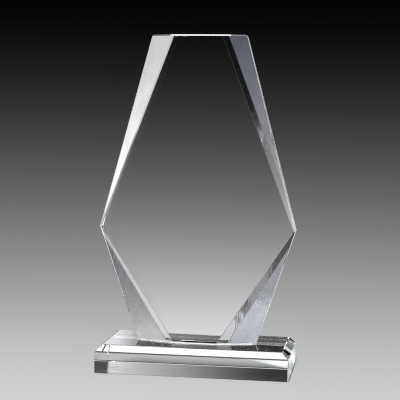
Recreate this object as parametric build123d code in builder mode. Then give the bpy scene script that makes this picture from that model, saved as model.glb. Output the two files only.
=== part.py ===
from build123d import *
from math import cos, radians, sin, tan
import os

# A clear crystal award: a flat-topped, six-sided plaque with long ground facets, standing on a
# bevelled rectangular base and held to it by a thin film of clear adhesive.
# Millimetres, +Z up, +Y towards the back. The origin is the centre of the base's underside.

# Base block
base_width = 150.6
base_depth = 72.0
base_height = 22.0
base_bevel = 5.0  # 45 degrees, round the top face
base_arris = 0.6  # narrow flat polished along every other edge

# Adhesive film between plaque and base
film_thickness = 0.15

# Plaque outline, seen from the front. It is widest at the waist and narrows to the top and the foot.
plaque_thickness = 16.0
plaque_forward = 6.0  # how far the plaque stands in front of the middle of the base
total_height = 262.5
waist_height = 112.3
top_half_width = 37.0
waist_half_width = 76.8
foot_half_width = 47.4

# Facets: each slanted side is ground away to a slope, on the front and on the back. A facet is
# widest at the plaque's top or foot, and its inner edge runs out towards the waist corner.
facet_angle = 18.0  # degrees that the facets slope back from the flat face
front_top_half_width = 18.3  # what is left of the flat front face along the top
front_foot_half_width = 16.5
front_waist_half_width = 75.6  # the facets' inner edges still clear the waist corner
back_top_half_width = 20.4
back_foot_half_width = 22.9
back_upper_waist_half_width = 77.1  # these inner edges reach the slanted side short of the waist
back_lower_waist_half_width = 78.6

# Narrow flats polished along the plaque's edges
top_flat_width = 1.7
edge_flat_width = 0.6
shortest_flattened_edge = 2.0

foot_height = base_height + film_thickness


def facet_plane(inner_end, end_height, inner_waist, side, facing):
    """The plane of one facet, with its normal pointing out of the plaque.

    The facet starts from the flat face along a line. The line is inner_end from the middle plane at
    end_height, and inner_waist from it at the waist. side is 1 on the right and -1 on the left.
    facing is -1 on the front and 1 on the back.
    """
    start = Vector(inner_end, 0, end_height)
    edge = (Vector(inner_waist, 0, waist_height) - start).normalized()
    outward = Vector(abs(edge.Z), 0, edge.X if end_height > waist_height else -edge.X)
    slope = radians(facet_angle)
    normal = Vector(side * outward.X * sin(slope), facing * cos(slope), outward.Z * sin(slope))
    origin = Vector(side * start.X, facing * plaque_thickness / 2 - plaque_forward, start.Z)
    return Plane(origin=origin, z_dir=normal)


def edge_flat_plane(edge, faces, width):
    """The plane that takes one edge of a convex solid down to a flat of the given width."""
    first, second = [face.normal_at() for face in faces if edge in face.edges()]
    outward = (first + second).normalized()
    half_turn = radians(first.get_angle(second)) / 2
    depth = width / 2 * tan(half_turn)
    return Plane(origin=edge.center() - outward * depth, z_dir=outward)


# For each facet: its inner end, the height of that end, its inner edge at the waist, and its facing
facets = [
    (front_top_half_width, total_height, front_waist_half_width, -1),
    (front_foot_half_width, foot_height, front_waist_half_width, -1),
    (back_top_half_width, total_height, back_upper_waist_half_width, 1),
    (back_foot_half_width, foot_height, back_lower_waist_half_width, 1),
]

os.makedirs("parts", exist_ok=True)

# Base: a solid block whose top edges are bevelled
with BuildPart() as base_block:
    with BuildSketch(Plane.XY):
        Rectangle(base_width, base_depth)
    extrude(amount=base_height)
    chamfer(base_block.faces().sort_by(Axis.Z)[-1].edges(), base_bevel)
    chamfer(base_block.edges(), base_arris)
base_block.part.label = "base_block"
export_step(base_block.part, "parts/base_block.step")

# Plaque: the outline cut from a slab, then one cut per facet
with BuildPart() as plaque:
    with BuildSketch(Plane.XZ.offset(plaque_forward)):
        with BuildLine():
            Polyline(
                (-top_half_width, total_height),
                (top_half_width, total_height),
                (waist_half_width, waist_height),
                (foot_half_width, foot_height),
                (-foot_half_width, foot_height),
                (-waist_half_width, waist_height),
                close=True,
            )
        make_face()
    extrude(amount=plaque_thickness / 2, both=True)
    for side in (-1, 1):
        for inner_end, end_height, inner_waist, facing in facets:
            cut = facet_plane(inner_end, end_height, inner_waist, side, facing)
            split(bisect_by=cut, keep=Keep.BOTTOM)
    top_edges = plaque.faces().sort_by(Axis.Z)[-1].edges()
    other_edges = [edge for edge in plaque.edges() - top_edges if edge.length > shortest_flattened_edge]
    sharp_faces = plaque.faces()
    for edge in top_edges:
        split(bisect_by=edge_flat_plane(edge, sharp_faces, top_flat_width), keep=Keep.BOTTOM)
    for edge in other_edges:
        split(bisect_by=edge_flat_plane(edge, sharp_faces, edge_flat_width), keep=Keep.BOTTOM)
plaque.part.label = "plaque"
export_step(plaque.part, "parts/plaque.step")

# Adhesive film: fills the joint under the plaque's whole foot
plaque_foot = plaque.faces().sort_by(Axis.Z)[0]
with BuildPart() as adhesive_film:
    extrude(plaque_foot, amount=film_thickness)
adhesive_film.part.label = "adhesive_film"
export_step(adhesive_film.part, "parts/adhesive_film.step")
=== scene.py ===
import math

import bmesh
import bpy
from mathutils import Matrix, Vector


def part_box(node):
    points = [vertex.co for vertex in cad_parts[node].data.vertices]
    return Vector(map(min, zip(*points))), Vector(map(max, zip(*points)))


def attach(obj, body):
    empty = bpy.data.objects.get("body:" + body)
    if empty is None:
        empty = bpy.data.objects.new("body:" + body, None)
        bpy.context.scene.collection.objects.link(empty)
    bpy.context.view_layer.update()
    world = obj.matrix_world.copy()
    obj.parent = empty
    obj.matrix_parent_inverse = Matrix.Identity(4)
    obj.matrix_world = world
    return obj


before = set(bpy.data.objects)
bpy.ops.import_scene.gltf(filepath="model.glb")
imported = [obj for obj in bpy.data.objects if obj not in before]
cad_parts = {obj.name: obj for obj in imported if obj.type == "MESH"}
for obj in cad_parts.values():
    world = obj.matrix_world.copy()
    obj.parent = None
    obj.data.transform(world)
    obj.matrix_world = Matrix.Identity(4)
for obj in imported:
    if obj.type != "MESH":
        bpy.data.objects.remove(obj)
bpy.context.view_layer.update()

# ---------------------------------------------------------------- node helpers


def new_material(name):
    """A material with an empty node tree and its output node."""
    material = bpy.data.materials.new(name)
    material.use_nodes = True
    tree = material.node_tree
    tree.nodes.clear()
    return material, tree, tree.nodes.new("ShaderNodeOutputMaterial")


def math_node(tree, operation, *inputs):
    """A Math node. Each input is a number or the socket that feeds it."""
    node = tree.nodes.new("ShaderNodeMath")
    node.operation = operation
    for socket, value in zip(node.inputs, inputs):
        if hasattr(value, "links"):
            tree.links.new(value, socket)
        else:
            socket.default_value = value
    return node.outputs[0]


def product(tree, first, *others):
    """All the values multiplied, in order."""
    for other in others:
        first = math_node(tree, "MULTIPLY", first, other)
    return first


def vector_sum(tree, first, second):
    node = tree.nodes.new("ShaderNodeVectorMath")
    node.operation = "ADD"
    tree.links.new(first, node.inputs[0])
    tree.links.new(second, node.inputs[1])
    return node.outputs[0]


def colour_mix(tree, share, none, full):
    """The colour none where share is 0, full where it is 1, and between them elsewhere."""
    node = tree.nodes.new("ShaderNodeMix")
    node.data_type = "RGBA"
    # a Mix node's sockets for colours are inputs 6 and 7 and output 2
    tree.links.new(share, node.inputs[0])
    node.inputs[6].default_value = (*none, 1)
    node.inputs[7].default_value = (*full, 1)
    return node.outputs[2]


def ease(tree, value, start, end, low=0.0, high=1.0):
    """A smooth step: low up to start, high from end on."""
    node = tree.nodes.new("ShaderNodeMapRange")
    node.interpolation_type = "SMOOTHSTEP"
    tree.links.new(value, node.inputs["Value"])
    node.inputs["From Min"].default_value = start
    node.inputs["From Max"].default_value = end
    node.inputs["To Min"].default_value = low
    node.inputs["To Max"].default_value = high
    return node.outputs[0]


# ---------------------------------------------------------------- crystal

CRYSTAL_IOR = 1.52
ABSORPTION = (0.86, 0.93, 0.92)
CLOUD_STRETCH = (1.0, 1.0, 0.7)
CLOUD_SCALE = 85
MARKS_SCALE = 60
NOISE_DETAIL = 3
CLOUD_SHARE = 0.8  # how high the clouds' waves are next to the marks'
FLAT_FACE_WAVES = 0.03  # how strong the waves are on the upright faces, next to 1 on ground ones
HAZE_FROM_TO = (0.42, 0.66)  # values of the clouds between which the haze sets in
# Each pair below is two values of a unit normal's part along one axis, between which a kind of
# face sets in: sideways for leaning faces, upright for level ones
LEANING = (0.08, 0.2)
LEVEL = (0.9, 0.98)
# The satin flats lean sideways more than the first and less than the second, and face forwards
# or backwards by the third
PAST_FLAT_FACE = (0.06, 0.09)
PAST_EDGE_FLAT = (0.19, 0.22)
FACING_FRONT_OR_BACK = (0.9, 0.94)
EDGE_ROUGHNESS = 0.6
WAIST_HEIGHT = 0.1123  # where the plaque is widest
WAIST_SOFTNESS = 0.002


def facing(tree, normal_axis, start_end):
    """1 where the normal's part along an axis, either way, is past the end, 0 short of the start."""
    return ease(tree, math_node(tree, "ABSOLUTE", normal_axis), *start_end)


def noise(tree, place, stretch, scale, detail):
    """A noise value about 0.5, its features stretched by the reciprocal of stretch."""
    mapping = tree.nodes.new("ShaderNodeMapping")
    mapping.inputs["Scale"].default_value = stretch
    tree.links.new(place, mapping.inputs["Vector"])
    texture = tree.nodes.new("ShaderNodeTexNoise")
    texture.inputs["Scale"].default_value = scale
    texture.inputs["Detail"].default_value = detail
    tree.links.new(mapping.outputs[0], texture.inputs["Vector"])
    return texture.outputs["Fac"]


def edge_flats(tree, place, normal):
    """The roughness of the narrow satin flats along the lower facets' inner edges, 0 elsewhere."""
    past_face = facing(tree, normal.outputs["X"], PAST_FLAT_FACE)
    past_flat = facing(tree, normal.outputs["X"], PAST_EDGE_FLAT)
    between = math_node(tree, "SUBTRACT", past_face, past_flat)
    upright = facing(tree, normal.outputs["Y"], FACING_FRONT_OR_BACK)
    point = tree.nodes.new("ShaderNodeSeparateXYZ")
    tree.links.new(place.outputs["Object"], point.inputs[0])
    below = ease(tree, point.outputs["Z"], WAIST_HEIGHT - WAIST_SOFTNESS, WAIST_HEIGHT, 1.0, 0.0)
    return product(tree, between, upright, below, EDGE_ROUGHNESS)


def crystal(name, streaks, wave_height, haze_tint, haze_amount, roughness):
    """Polished crystal with the faint waviness and haze that hand polishing leaves.

    streaks is the stretch of the polishing marks. The facets, the ends and the level faces
    carry them most; the large upright faces are nearly perfect. wave_height is in metres.
    """
    material, tree, output = new_material(name)
    shader = tree.nodes.new("ShaderNodeBsdfPrincipled")
    shader.inputs["Transmission Weight"].default_value = 1.0
    shader.inputs["IOR"].default_value = CRYSTAL_IOR
    tree.links.new(shader.outputs[0], output.inputs["Surface"])
    absorb = tree.nodes.new("ShaderNodeVolumeAbsorption")
    absorb.inputs["Color"].default_value = (*ABSORPTION, 1)
    absorb.inputs["Density"].default_value = 1.0
    tree.links.new(absorb.outputs[0], output.inputs["Volume"])

    place = tree.nodes.new("ShaderNodeTexCoord")
    normal = tree.nodes.new("ShaderNodeSeparateXYZ")
    tree.links.new(place.outputs["Normal"], normal.inputs[0])
    leaning = facing(tree, normal.outputs["X"], LEANING)
    level = facing(tree, normal.outputs["Z"], LEVEL)
    ground = math_node(tree, "MAXIMUM", leaning, level)

    cloud = noise(tree, place.outputs["Object"], CLOUD_STRETCH, CLOUD_SCALE, NOISE_DETAIL)
    marks = noise(tree, place.outputs["Object"], streaks, MARKS_SCALE, NOISE_DETAIL)
    haze = product(tree, ease(tree, cloud, *HAZE_FROM_TO), ground, haze_amount)
    tint = colour_mix(tree, haze, (1.0, 1.0, 1.0), haze_tint)
    tree.links.new(tint, shader.inputs["Base Color"])

    rough = product(tree, marks, ground, roughness)
    satin = edge_flats(tree, place, normal)
    tree.links.new(math_node(tree, "MAXIMUM", rough, satin), shader.inputs["Roughness"])

    height = math_node(tree, "MULTIPLY_ADD", cloud, CLOUD_SHARE, marks)
    bump = tree.nodes.new("ShaderNodeBump")
    bump.inputs["Distance"].default_value = wave_height
    strength = math_node(tree, "MULTIPLY_ADD", ground, 1 - FLAT_FACE_WAVES, FLAT_FACE_WAVES)
    tree.links.new(strength, bump.inputs["Strength"])
    tree.links.new(height, bump.inputs["Height"])
    tree.links.new(bump.outputs[0], shader.inputs["Normal"])
    return material


def dress(node, material):
    """Give a CAD node its material and flat shading."""
    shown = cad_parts[node]
    shown.data.materials.clear()
    shown.data.materials.append(material)
    shown.data.polygons.foreach_set("use_smooth", [False] * len(shown.data.polygons))


dress(
    "plaque",
    crystal(
        "plaque_crystal",
        streaks=(3.0, 1.0, 0.8),
        wave_height=0.00009,
        haze_tint=(0.84, 0.85, 0.87),
        haze_amount=0.8,
        roughness=0.05,
    ),
)
dress(
    "base_block",
    crystal(
        "base_crystal",
        streaks=(0.35, 5.0, 1.0),
        wave_height=0.00003,
        haze_tint=(0.84, 0.87, 0.93),
        haze_amount=0.6,
        roughness=0.03,
    ),
)
dress(
    "adhesive_film",
    crystal(
        "clear_adhesive",
        streaks=(1.0, 1.0, 1.0),
        wave_height=0.00005,
        haze_tint=(0.92, 0.94, 0.96),
        haze_amount=1.0,
        roughness=0.2,
    ),
)

# ---------------------------------------------------------------- adhesive bead

# The adhesive squeezed out round the plaque's foot, as a section: distance out from the film's
# edge and height above the base.
BEAD_SECTION = (
    (0.00058, 0.00105),
    (0.00070, 0.00060),
    (0.00095, 0.00022),
    (0.00135, 0.00001),
    (0.00003, 0.00001),
    (0.00003, 0.00013),
    (0.00048, 0.00085),
)
BEAD_STEP = 0.002  # between points along the bead
BEAD_UNEVENNESS = 0.22
BEAD_WAVES = ((5, 1.0), (11, 0.0))  # how many swellings in one turn, and their start in radians
BEAD_SIZE_BEHIND = 0.35  # it was wiped thinner along the back
BEAD_PALE = (0.97, 0.98, 1.0)
BEAD_DULL = (0.90, 0.92, 0.95)
BEAD_CLOUD_SCALE = 300
BEAD_CLOUD_DETAIL = 2
BEAD_ROUGHNESS = 0.5
FOOT_TOLERANCE = 0.00001


def film_outline():
    """The film's outline as points in order, no further than BEAD_STEP apart."""
    low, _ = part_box("adhesive_film")
    corners = {
        (round(v.co.x, 6), round(v.co.y, 6))
        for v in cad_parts["adhesive_film"].data.vertices
        if v.co.z < low[2] + FOOT_TOLERANCE
    }
    middle = sum((Vector(c) for c in corners), Vector((0, 0))) / len(corners)
    corners = sorted(corners, key=lambda c: math.atan2(c[1] - middle.y, c[0] - middle.x))
    points = []
    for i, corner in enumerate(corners):
        start = Vector(corner)
        run = Vector(corners[(i + 1) % len(corners)]) - start
        steps = max(1, round(run.length / BEAD_STEP))
        points += [start + run * k / steps for k in range(steps)]
    return points


def bead_vertices(outline):
    """The section's points round the outline, swelling and narrowing as a squeezed bead does."""
    count = len(outline)
    base_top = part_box("base_block")[1][2]
    film_low, film_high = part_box("adhesive_film")
    middle_y = (film_low[1] + film_high[1]) / 2
    vertices = []
    for i, point in enumerate(outline):
        before = (point - outline[i - 1]).normalized()
        after = (outline[(i + 1) % count] - point).normalized()
        out = Vector((before.y + after.y, -before.x - after.x)) / (1 + before.dot(after))
        turn = 2 * math.pi * i / count
        waves = sum(math.sin(number * turn + start) for number, start in BEAD_WAVES)
        swell = 1 + BEAD_UNEVENNESS * waves / len(BEAD_WAVES)
        if point.y > middle_y:
            swell *= BEAD_SIZE_BEHIND
        for distance, height in BEAD_SECTION:
            place = point + out * distance * swell
            vertices.append((place.x, place.y, base_top + height * swell))
    return vertices


def bead_mesh():
    outline = film_outline()
    count = len(outline)
    ring = len(BEAD_SECTION)
    faces = [
        (
            i * ring + j,
            ((i + 1) % count) * ring + j,
            ((i + 1) % count) * ring + (j + 1) % ring,
            i * ring + (j + 1) % ring,
        )
        for i in range(count)
        for j in range(ring)
    ]
    mesh = bpy.data.meshes.new("adhesive_bead")
    mesh.from_pydata(bead_vertices(outline), [], faces)
    mesh.validate()
    form = bmesh.new()
    form.from_mesh(mesh)
    bmesh.ops.recalc_face_normals(form, faces=form.faces)
    form.to_mesh(mesh)
    form.free()
    return mesh


def bead_material():
    """Cured adhesive gone milky, in clouds."""
    material, tree, output = new_material("cured_bead")
    shader = tree.nodes.new("ShaderNodeBsdfPrincipled")
    tree.links.new(shader.outputs[0], output.inputs["Surface"])
    place = tree.nodes.new("ShaderNodeTexCoord")
    stretch = (1.0, 1.0, 1.0)
    cloud = noise(tree, place.outputs["Object"], stretch, BEAD_CLOUD_SCALE, BEAD_CLOUD_DETAIL)
    tree.links.new(colour_mix(tree, cloud, BEAD_DULL, BEAD_PALE), shader.inputs["Base Color"])
    tree.links.new(math_node(tree, "MULTIPLY", cloud, BEAD_ROUGHNESS), shader.inputs["Roughness"])
    return material


def make_bead():
    mesh = bead_mesh()
    mesh.materials.append(bead_material())
    bead = bpy.data.objects.new("adhesive_bead", mesh)
    bpy.context.scene.collection.objects.link(bead)
    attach(bead, "root")


make_bead()

# ---------------------------------------------------------------- floor

FLOOR_RADIUS = 0.42
FLOOR_SEGMENTS = 96
FLOOR_DROP = 0.0002  # below the base, so that the two don't share a plane
FLOOR_FADE_FROM = 0.12  # the radius at which it starts to fade into the sweep
FLOOR_LEVEL = 0.565  # brightness of the floor under the award's middle
FLOOR_FALL = 0.60  # how much darker it gets per metre towards the back
FLOOR_TINT = (0.985, 1.0, 1.015)
SHADE_DEPTH = 0.93  # share of the floor's light that the shade under the base takes away
FOCUS_STRENGTH = 0.75  # light that the base gathers on the floor just behind its right end
FOCUS_TURN = 38.3  # degrees to the right of straight back, of the direction in which it sets in
FOCUS_FROM = 0.0715  # it sets in between these distances from the middle, in that direction
FOCUS_TO = 0.0770
FOCUS_CENTRE = (0.075, 0.060)
FOCUS_RADIUS = 0.055  # it has faded out this far from its centre

base_low, base_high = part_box("base_block")
SHADE_EDGES = (
    # axis, no shade here, full shade here
    ("x", base_low[0] + 0.001, base_low[0] + 0.027),
    ("x", base_high[0] + 0.0012, base_high[0] - 0.0005),
    ("y", base_low[1], base_low[1] + 0.007),
    ("y", base_high[1] + 0.034, base_high[1] - 0.016),
)
# painted shade: a small dark spot painted into the floor's glow under the base's left end, seen in
# the base as a dark reflection
SHADE_SPOT_CENTRE = (base_low[0] + 0.018, 0.011)
SHADE_SPOT_RADIUS = 0.013
SHADE_SPOT_DEPTH = 0.9
FLOOR_GAIN = 0.45  # how much paler the floor behind the base looks through the plaque
FLOOR_GAIN_FROM = 0.07  # it sets in from here to there, towards the back
FLOOR_GAIN_TO = 0.15
FLOOR_GAIN_WITHIN = 0.07  # to either side of the middle


def through_crystal(tree):
    """1 for light that reaches the camera through the crystal or off it, 0 for a direct view."""
    path = tree.nodes.new("ShaderNodeLightPath")
    return math_node(tree, "SUBTRACT", 1.0, path.outputs["Is Camera Ray"])


def distance_from(tree, place, point):
    """How far a place on the floor is from a point on it."""
    node = tree.nodes.new("ShaderNodeVectorMath")
    node.operation = "DISTANCE"
    tree.links.new(place.outputs["Object"], node.inputs[0])
    node.inputs[1].default_value = (*point, 0)
    return node.outputs["Value"]


def shade_under_base(tree, axes):
    """The share of light left by the soft shade under the base and just behind it."""
    shade = SHADE_DEPTH
    for axis, clear_at, full_at in SHADE_EDGES:
        if clear_at < full_at:
            side = ease(tree, axes[axis], clear_at, full_at)
        else:
            side = ease(tree, axes[axis], full_at, clear_at, 1.0, 0.0)
        shade = math_node(tree, "MULTIPLY", side, shade)
    return math_node(tree, "SUBTRACT", 1.0, shade)


def gain_behind(tree, axes):
    """How much paler the floor behind the base looks through the plaque, as a factor."""
    gain = ease(tree, axes["y"], FLOOR_GAIN_FROM, FLOOR_GAIN_TO, 0.0, FLOOR_GAIN)
    off_middle = math_node(tree, "ABSOLUTE", axes["x"])
    within = ease(tree, off_middle, FLOOR_GAIN_WITHIN, 2 * FLOOR_GAIN_WITHIN, 1.0, 0.0)
    gain = math_node(tree, "MULTIPLY", gain, within)
    return math_node(tree, "MULTIPLY_ADD", gain, through_crystal(tree), 1.0)


def gathered_light(tree, place, axes):
    """The light that the base gathers on the floor behind its right end."""
    turn = math.radians(FOCUS_TURN)
    across = math_node(tree, "MULTIPLY", axes["x"], math.sin(turn))
    along = math_node(tree, "MULTIPLY_ADD", axes["y"], math.cos(turn), across)
    reach = distance_from(tree, place, FOCUS_CENTRE)
    near = ease(tree, reach, 0.0, FOCUS_RADIUS, FOCUS_STRENGTH, 0.0)
    return product(tree, ease(tree, along, FOCUS_FROM, FOCUS_TO), near, through_crystal(tree))


def floor_material():
    """The floor's own glow, which fades into the sweep towards the floor's rim."""
    material, tree, output = new_material("floor_sweep")
    place = tree.nodes.new("ShaderNodeTexCoord")
    split = tree.nodes.new("ShaderNodeSeparateXYZ")
    tree.links.new(place.outputs["Object"], split.inputs[0])
    axes = {"x": split.outputs["X"], "y": split.outputs["Y"]}

    level = math_node(tree, "MULTIPLY_ADD", axes["y"], -FLOOR_FALL, FLOOR_LEVEL)
    # painted shade: the floor's glow is darkened in a soft spot under the base's left end
    from_shade_spot = distance_from(tree, place, SHADE_SPOT_CENTRE)
    shade_spot = ease(tree, from_shade_spot, 0.0, SHADE_SPOT_RADIUS, 1 - SHADE_SPOT_DEPTH, 1.0)
    lit = product(tree, level, shade_under_base(tree, axes), shade_spot, gain_behind(tree, axes))
    lit = math_node(tree, "ADD", lit, gathered_light(tree, place, axes))

    glow = tree.nodes.new("ShaderNodeEmission")
    glow.inputs["Color"].default_value = (*FLOOR_TINT, 1)
    tree.links.new(lit, glow.inputs["Strength"])
    clear = tree.nodes.new("ShaderNodeBsdfTransparent")
    radius = distance_from(tree, place, (0, 0))
    mix = tree.nodes.new("ShaderNodeMixShader")
    tree.links.new(ease(tree, radius, FLOOR_FADE_FROM, FLOOR_RADIUS), mix.inputs[0])
    tree.links.new(glow.outputs[0], mix.inputs[1])
    tree.links.new(clear.outputs[0], mix.inputs[2])
    tree.links.new(mix.outputs[0], output.inputs["Surface"])
    return material


def make_floor():
    turns = [2 * math.pi * i / FLOOR_SEGMENTS for i in range(FLOOR_SEGMENTS)]
    rim = [(FLOOR_RADIUS * math.cos(turn), FLOOR_RADIUS * math.sin(turn), 0) for turn in turns]
    mesh = bpy.data.meshes.new("floor")
    mesh.from_pydata(rim, [], [tuple(range(FLOOR_SEGMENTS))])
    mesh.materials.append(floor_material())
    floor = bpy.data.objects.new("floor", mesh)
    bpy.context.scene.collection.objects.link(floor)
    floor.location.z = -FLOOR_DROP


make_floor()

# ---------------------------------------------------------------- studio light

# Soft boxes and cards, as directions seen from the award, in degrees: azimuth (0 is straight
# back, + to the right) from and to, elevation from and to, the width of the soft edge sideways
# and upright, then brightness and colour. They show only in and through the crystal.
SOFT_BOXES = [
    ("back_left_panel", -75, -15, 10.5, 16, 10.2, 3.5, 0.64, (1.0, 0.99, 1.03)),
    ("left_glow", -40, -13, 9.6, 11.2, 1.8, 0.9, 0.9, (1.0, 1.0, 1.02)),
    ("left_box", -78, -45, 19, 30, 8, 5, 1.1, (1.0, 1.0, 1.0)),
    ("front_left_box", -150, -110, 24, 40, 14, 8, 0.5, (1.0, 1.0, 1.0)),
    ("front_key", -185, -165, 8, 16, 8, 5, 0.35, (1.0, 1.0, 1.0)),
    ("right_box", 60, 110, 12, 40, 12, 8, 1.1, (1.0, 1.0, 1.0)),
    ("right_fill", 10, 34, 9, 17, 4, 4, 0.05, (0.95, 1.0, 0.97)),
    ("right_panel", -3.2, 13, -16, -0.6, 1.3, 3.6, 0.54, (1.0, 1.0, 1.015)),
    ("right_low_card", 4.5, 9, 2.8, 6.0, 2, 2.5, 0.22, (0.97, 0.97, 1.04)),
    ("front_top_box", -215, -145, 34, 58, 6, 6, 3.2, (1.0, 1.0, 1.0)),
    ("left_card", -25, -20, 0.5, 5.5, 2, 2, 0.34, (0.96, 0.97, 1.07)),
    ("left_lower_card", -25, -21.5, -1, 1.2, 2, 1.2, 0.19, (0.96, 0.97, 1.07)),
    ("left_blue", -34, -18.5, -9, -1, 1.5, 2, 0.022, (0.1, 0.45, 1.6)),
    ("left_strip_high", -14.4, -13.5, -4.2, -2.5, 0.4, 0.8, 0.17, (0.96, 0.97, 1.06)),
    ("left_strip_low", -17.0, -15.1, -8.0, -4.7, 0.5, 0.6, 0.52, (0.96, 0.97, 1.06)),
]
# Black cards, placed the same way: they leave this share of the sweep's brightness.
BLACK_CARDS = [
    ("left_flag", -34, -15.4, -16, 6, 1.2, 3, 0.60),
    ("left_strip_flag", -18.0, -15.2, -3.0, 6, 1.2, 1.5, 0.2),
    ("low_right_flag", 6, 15, -37, -28, 3, 4, 0.06),
    ("low_left_flag", -38, -30, -37, -28, 3, 4, 0.30),
]
PANEL_SLANT = 0.645  # degrees that the right panel's sides lean across per degree of elevation
PANEL_SLANT_FROM = -1.6  # they are upright above this elevation
PANEL_SLANT_ROUND = -3.0  # and stand at their listed azimuths at this one
DOME_FROM = 28.5  # elevation at which the light from above sets in, behind the award
DOME_TO = 34
DOME_STRENGTH = 1.05
DOME_LIFT = 14  # how many degrees higher it sets in, in front of the award
DOME_LIFT_FROM = -0.5  # the lift fades from front to back between these values of a direction's y
DOME_LIFT_TO = 0.2
SWEEP_TOP = 5.36  # elevation at which the sweep has gone dark
SWEEP_SPAN = 19.5  # degrees from there down to its palest
SWEEP_STRAIGHT = 0.5  # display value that a straight fall gives at its palest
SWEEP_EASED = 0.33  # display value that an eased fall adds
SWEEP_GAIN = 0.42  # how much paler its lower half looks through the crystal
SWEEP_GAIN_HIGH = 0.06  # and its upper half; the one gives way to the other between these
SWEEP_GAIN_FROM = -2.5
SWEEP_GAIN_TO = -11.0
SWEEP_GAIN_WITHIN = 20  # degrees to either side of straight back
SRGB_OFFSET = 0.055
SRGB_EXPONENT = 2.4


def card_mask(tree, azimuth, elevation, left, right, low, high, soft_across, soft_up):
    """1 inside a card, falling softly to 0 round it."""
    turn = math_node(tree, "SUBTRACT", azimuth, (left + right) / 2)
    turn = math_node(tree, "ABSOLUTE", math_node(tree, "WRAP", turn, 180, -180))
    rise = math_node(tree, "ABSOLUTE", math_node(tree, "SUBTRACT", elevation, (low + high) / 2))
    half_across = (right - left) / 2
    half_up = (high - low) / 2
    across = ease(tree, turn, half_across, half_across + soft_across, 1.0, 0.0)
    up = ease(tree, rise, half_up, half_up + soft_up, 1.0, 0.0)
    return math_node(tree, "MULTIPLY", across, up)


def display_to_light(tree, value):
    """The light that shows as a display value, by the upper part of the sRGB curve."""
    raised = math_node(tree, "ADD", value, SRGB_OFFSET)
    scaled = math_node(tree, "DIVIDE", raised, 1 + SRGB_OFFSET)
    return math_node(tree, "POWER", scaled, SRGB_EXPONENT)


def backdrop_sweep(tree, azimuth, elevation, through):
    """The sweep, pale at floor level and falling off to black above the award."""
    fall = math_node(tree, "DIVIDE", math_node(tree, "SUBTRACT", SWEEP_TOP, elevation), SWEEP_SPAN)
    fall = math_node(tree, "MINIMUM", math_node(tree, "MAXIMUM", fall, 0.0), 1.0)
    straight = math_node(tree, "MULTIPLY", fall, SWEEP_STRAIGHT)
    shown = math_node(tree, "ADD", straight, ease(tree, fall, 0.0, 1.0, 0.0, SWEEP_EASED))
    sweep = display_to_light(tree, shown)

    gain = ease(tree, elevation, SWEEP_GAIN_TO, SWEEP_GAIN_FROM, SWEEP_GAIN, SWEEP_GAIN_HIGH)
    off_middle = math_node(tree, "ABSOLUTE", azimuth)
    behind = ease(tree, off_middle, SWEEP_GAIN_WITHIN, 2 * SWEEP_GAIN_WITHIN, 1.0, 0.0)
    gain = math_node(tree, "MULTIPLY_ADD", math_node(tree, "MULTIPLY", gain, behind), through, 1.0)
    sweep = math_node(tree, "MULTIPLY", sweep, gain)

    for _, left, right, low, high, soft_across, soft_up, left_over in BLACK_CARDS:
        mask = card_mask(tree, azimuth, elevation, left, right, low, high, soft_across, soft_up)
        cut = math_node(tree, "MULTIPLY", through, left_over - 1)
        kept = math_node(tree, "MULTIPLY_ADD", mask, cut, 1.0)
        sweep = math_node(tree, "MULTIPLY", sweep, kept)
    return sweep


def dome_light(tree, elevation, y):
    """Soft light from above, which starts higher in front of the award than behind it."""
    lift = ease(tree, y, DOME_LIFT_FROM, DOME_LIFT_TO, DOME_LIFT, 0.0)
    height = math_node(tree, "SUBTRACT", elevation, lift)
    dome = ease(tree, height, DOME_FROM, DOME_TO, 0.0, DOME_STRENGTH)
    combine = tree.nodes.new("ShaderNodeCombineXYZ")
    for socket in combine.inputs:
        tree.links.new(dome, socket)
    return combine.outputs[0]


def add_soft_boxes(tree, light, azimuth, elevation):
    """The light with every soft box added."""
    lowered = math_node(tree, "MINIMUM", elevation, PANEL_SLANT_FROM)
    lowered = math_node(tree, "SUBTRACT", lowered, PANEL_SLANT_ROUND)
    slanted = math_node(tree, "MULTIPLY_ADD", lowered, PANEL_SLANT, azimuth)
    for name, left, right, low, high, soft_across, soft_up, strength, colour in SOFT_BOXES:
        turned = slanted if name == "right_panel" else azimuth
        mask = card_mask(tree, turned, elevation, left, right, low, high, soft_across, soft_up)
        glow = tree.nodes.new("ShaderNodeVectorMath")
        glow.operation = "SCALE"
        glow.label = name
        glow.inputs[0].default_value = tuple(strength * c for c in colour)
        tree.links.new(mask, glow.inputs["Scale"])
        light = vector_sum(tree, light, glow.outputs[0])
    return light


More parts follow.
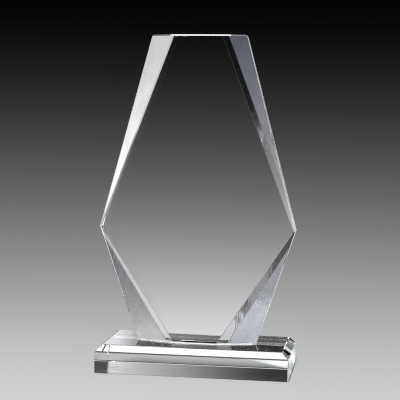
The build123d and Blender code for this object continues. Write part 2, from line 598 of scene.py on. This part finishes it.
def make_world():
    world = bpy.data.worlds.new("studio")
    bpy.context.scene.world = world
    world.use_nodes = True
    tree = world.node_tree
    tree.nodes.clear()
    output = tree.nodes.new("ShaderNodeOutputWorld")
    background = tree.nodes.new("ShaderNodeBackground")
    tree.links.new(background.outputs[0], output.inputs["Surface"])
    place = tree.nodes.new("ShaderNodeTexCoord")
    split = tree.nodes.new("ShaderNodeSeparateXYZ")
    tree.links.new(place.outputs["Generated"], split.inputs[0])
    x, y, z = split.outputs
    degrees = 180 / math.pi
    elevation = math_node(tree, "MULTIPLY", math_node(tree, "ARCSINE", z), degrees)
    azimuth = math_node(tree, "MULTIPLY", math_node(tree, "ARCTAN2", x, y), degrees)
    through = through_crystal(tree)

    light = add_soft_boxes(tree, dome_light(tree, elevation, y), azimuth, elevation)
    hidden = tree.nodes.new("ShaderNodeVectorMath")
    hidden.operation = "SCALE"
    tree.links.new(light, hidden.inputs[0])
    tree.links.new(through, hidden.inputs["Scale"])
    sweep = backdrop_sweep(tree, azimuth, elevation, through)
    tree.links.new(vector_sum(tree, hidden.outputs[0], sweep), background.inputs["Color"])


make_world()

# ---------------------------------------------------------------- camera

CAMERA_AZIMUTH = 8.77  # degrees that the camera stands to the right of the award's front
CAMERA_PITCH = -4.38
CAMERA_ROLL = 0.73
CAMERA_DISTANCE = 0.9262
CAMERA_TARGET = Vector((0.00055, 0, 0.1339))
CAMERA_LENS = 105.9  # millimetres, like the sensor's width
SENSOR_WIDTH = 36
CAMERA_CLIP_START = 0.01


def make_camera():
    azimuth = math.radians(CAMERA_AZIMUTH)
    pitch = math.radians(CAMERA_PITCH)
    roll = math.radians(CAMERA_ROLL)
    look = Vector(
        (
            -math.sin(azimuth) * math.cos(pitch),
            math.cos(azimuth) * math.cos(pitch),
            math.sin(pitch),
        )
    )
    right = Vector((math.cos(azimuth), math.sin(azimuth), 0))
    up = right.cross(look)
    rolled_right = right * math.cos(roll) + up * math.sin(roll)
    rolled_up = up * math.cos(roll) - right * math.sin(roll)
    data = bpy.data.cameras.new("camera")
    data.lens = CAMERA_LENS
    data.sensor_width = SENSOR_WIDTH
    data.clip_start = CAMERA_CLIP_START
    camera = bpy.data.objects.new("camera", data)
    turn = Matrix((rolled_right, rolled_up, -look)).transposed()
    camera.matrix_world = Matrix.Translation(CAMERA_TARGET - look * CAMERA_DISTANCE) @ turn.to_4x4()
    bpy.context.scene.collection.objects.link(camera)
    bpy.context.scene.camera = camera


make_camera()

# ---------------------------------------------------------------- picture settings

LIGHT_BOUNCES = 32  # enough for light that turns many times inside the crystal

scene = bpy.context.scene
scene.view_settings.view_transform = "Standard"
scene.view_settings.look = "None"
scene.cycles.max_bounces = LIGHT_BOUNCES
scene.cycles.transmission_bounces = LIGHT_BOUNCES
scene.cycles.glossy_bounces = LIGHT_BOUNCES
scene.cycles.filter_width = 1.1  # a crisp picture: every edge of the crystal is a thin line
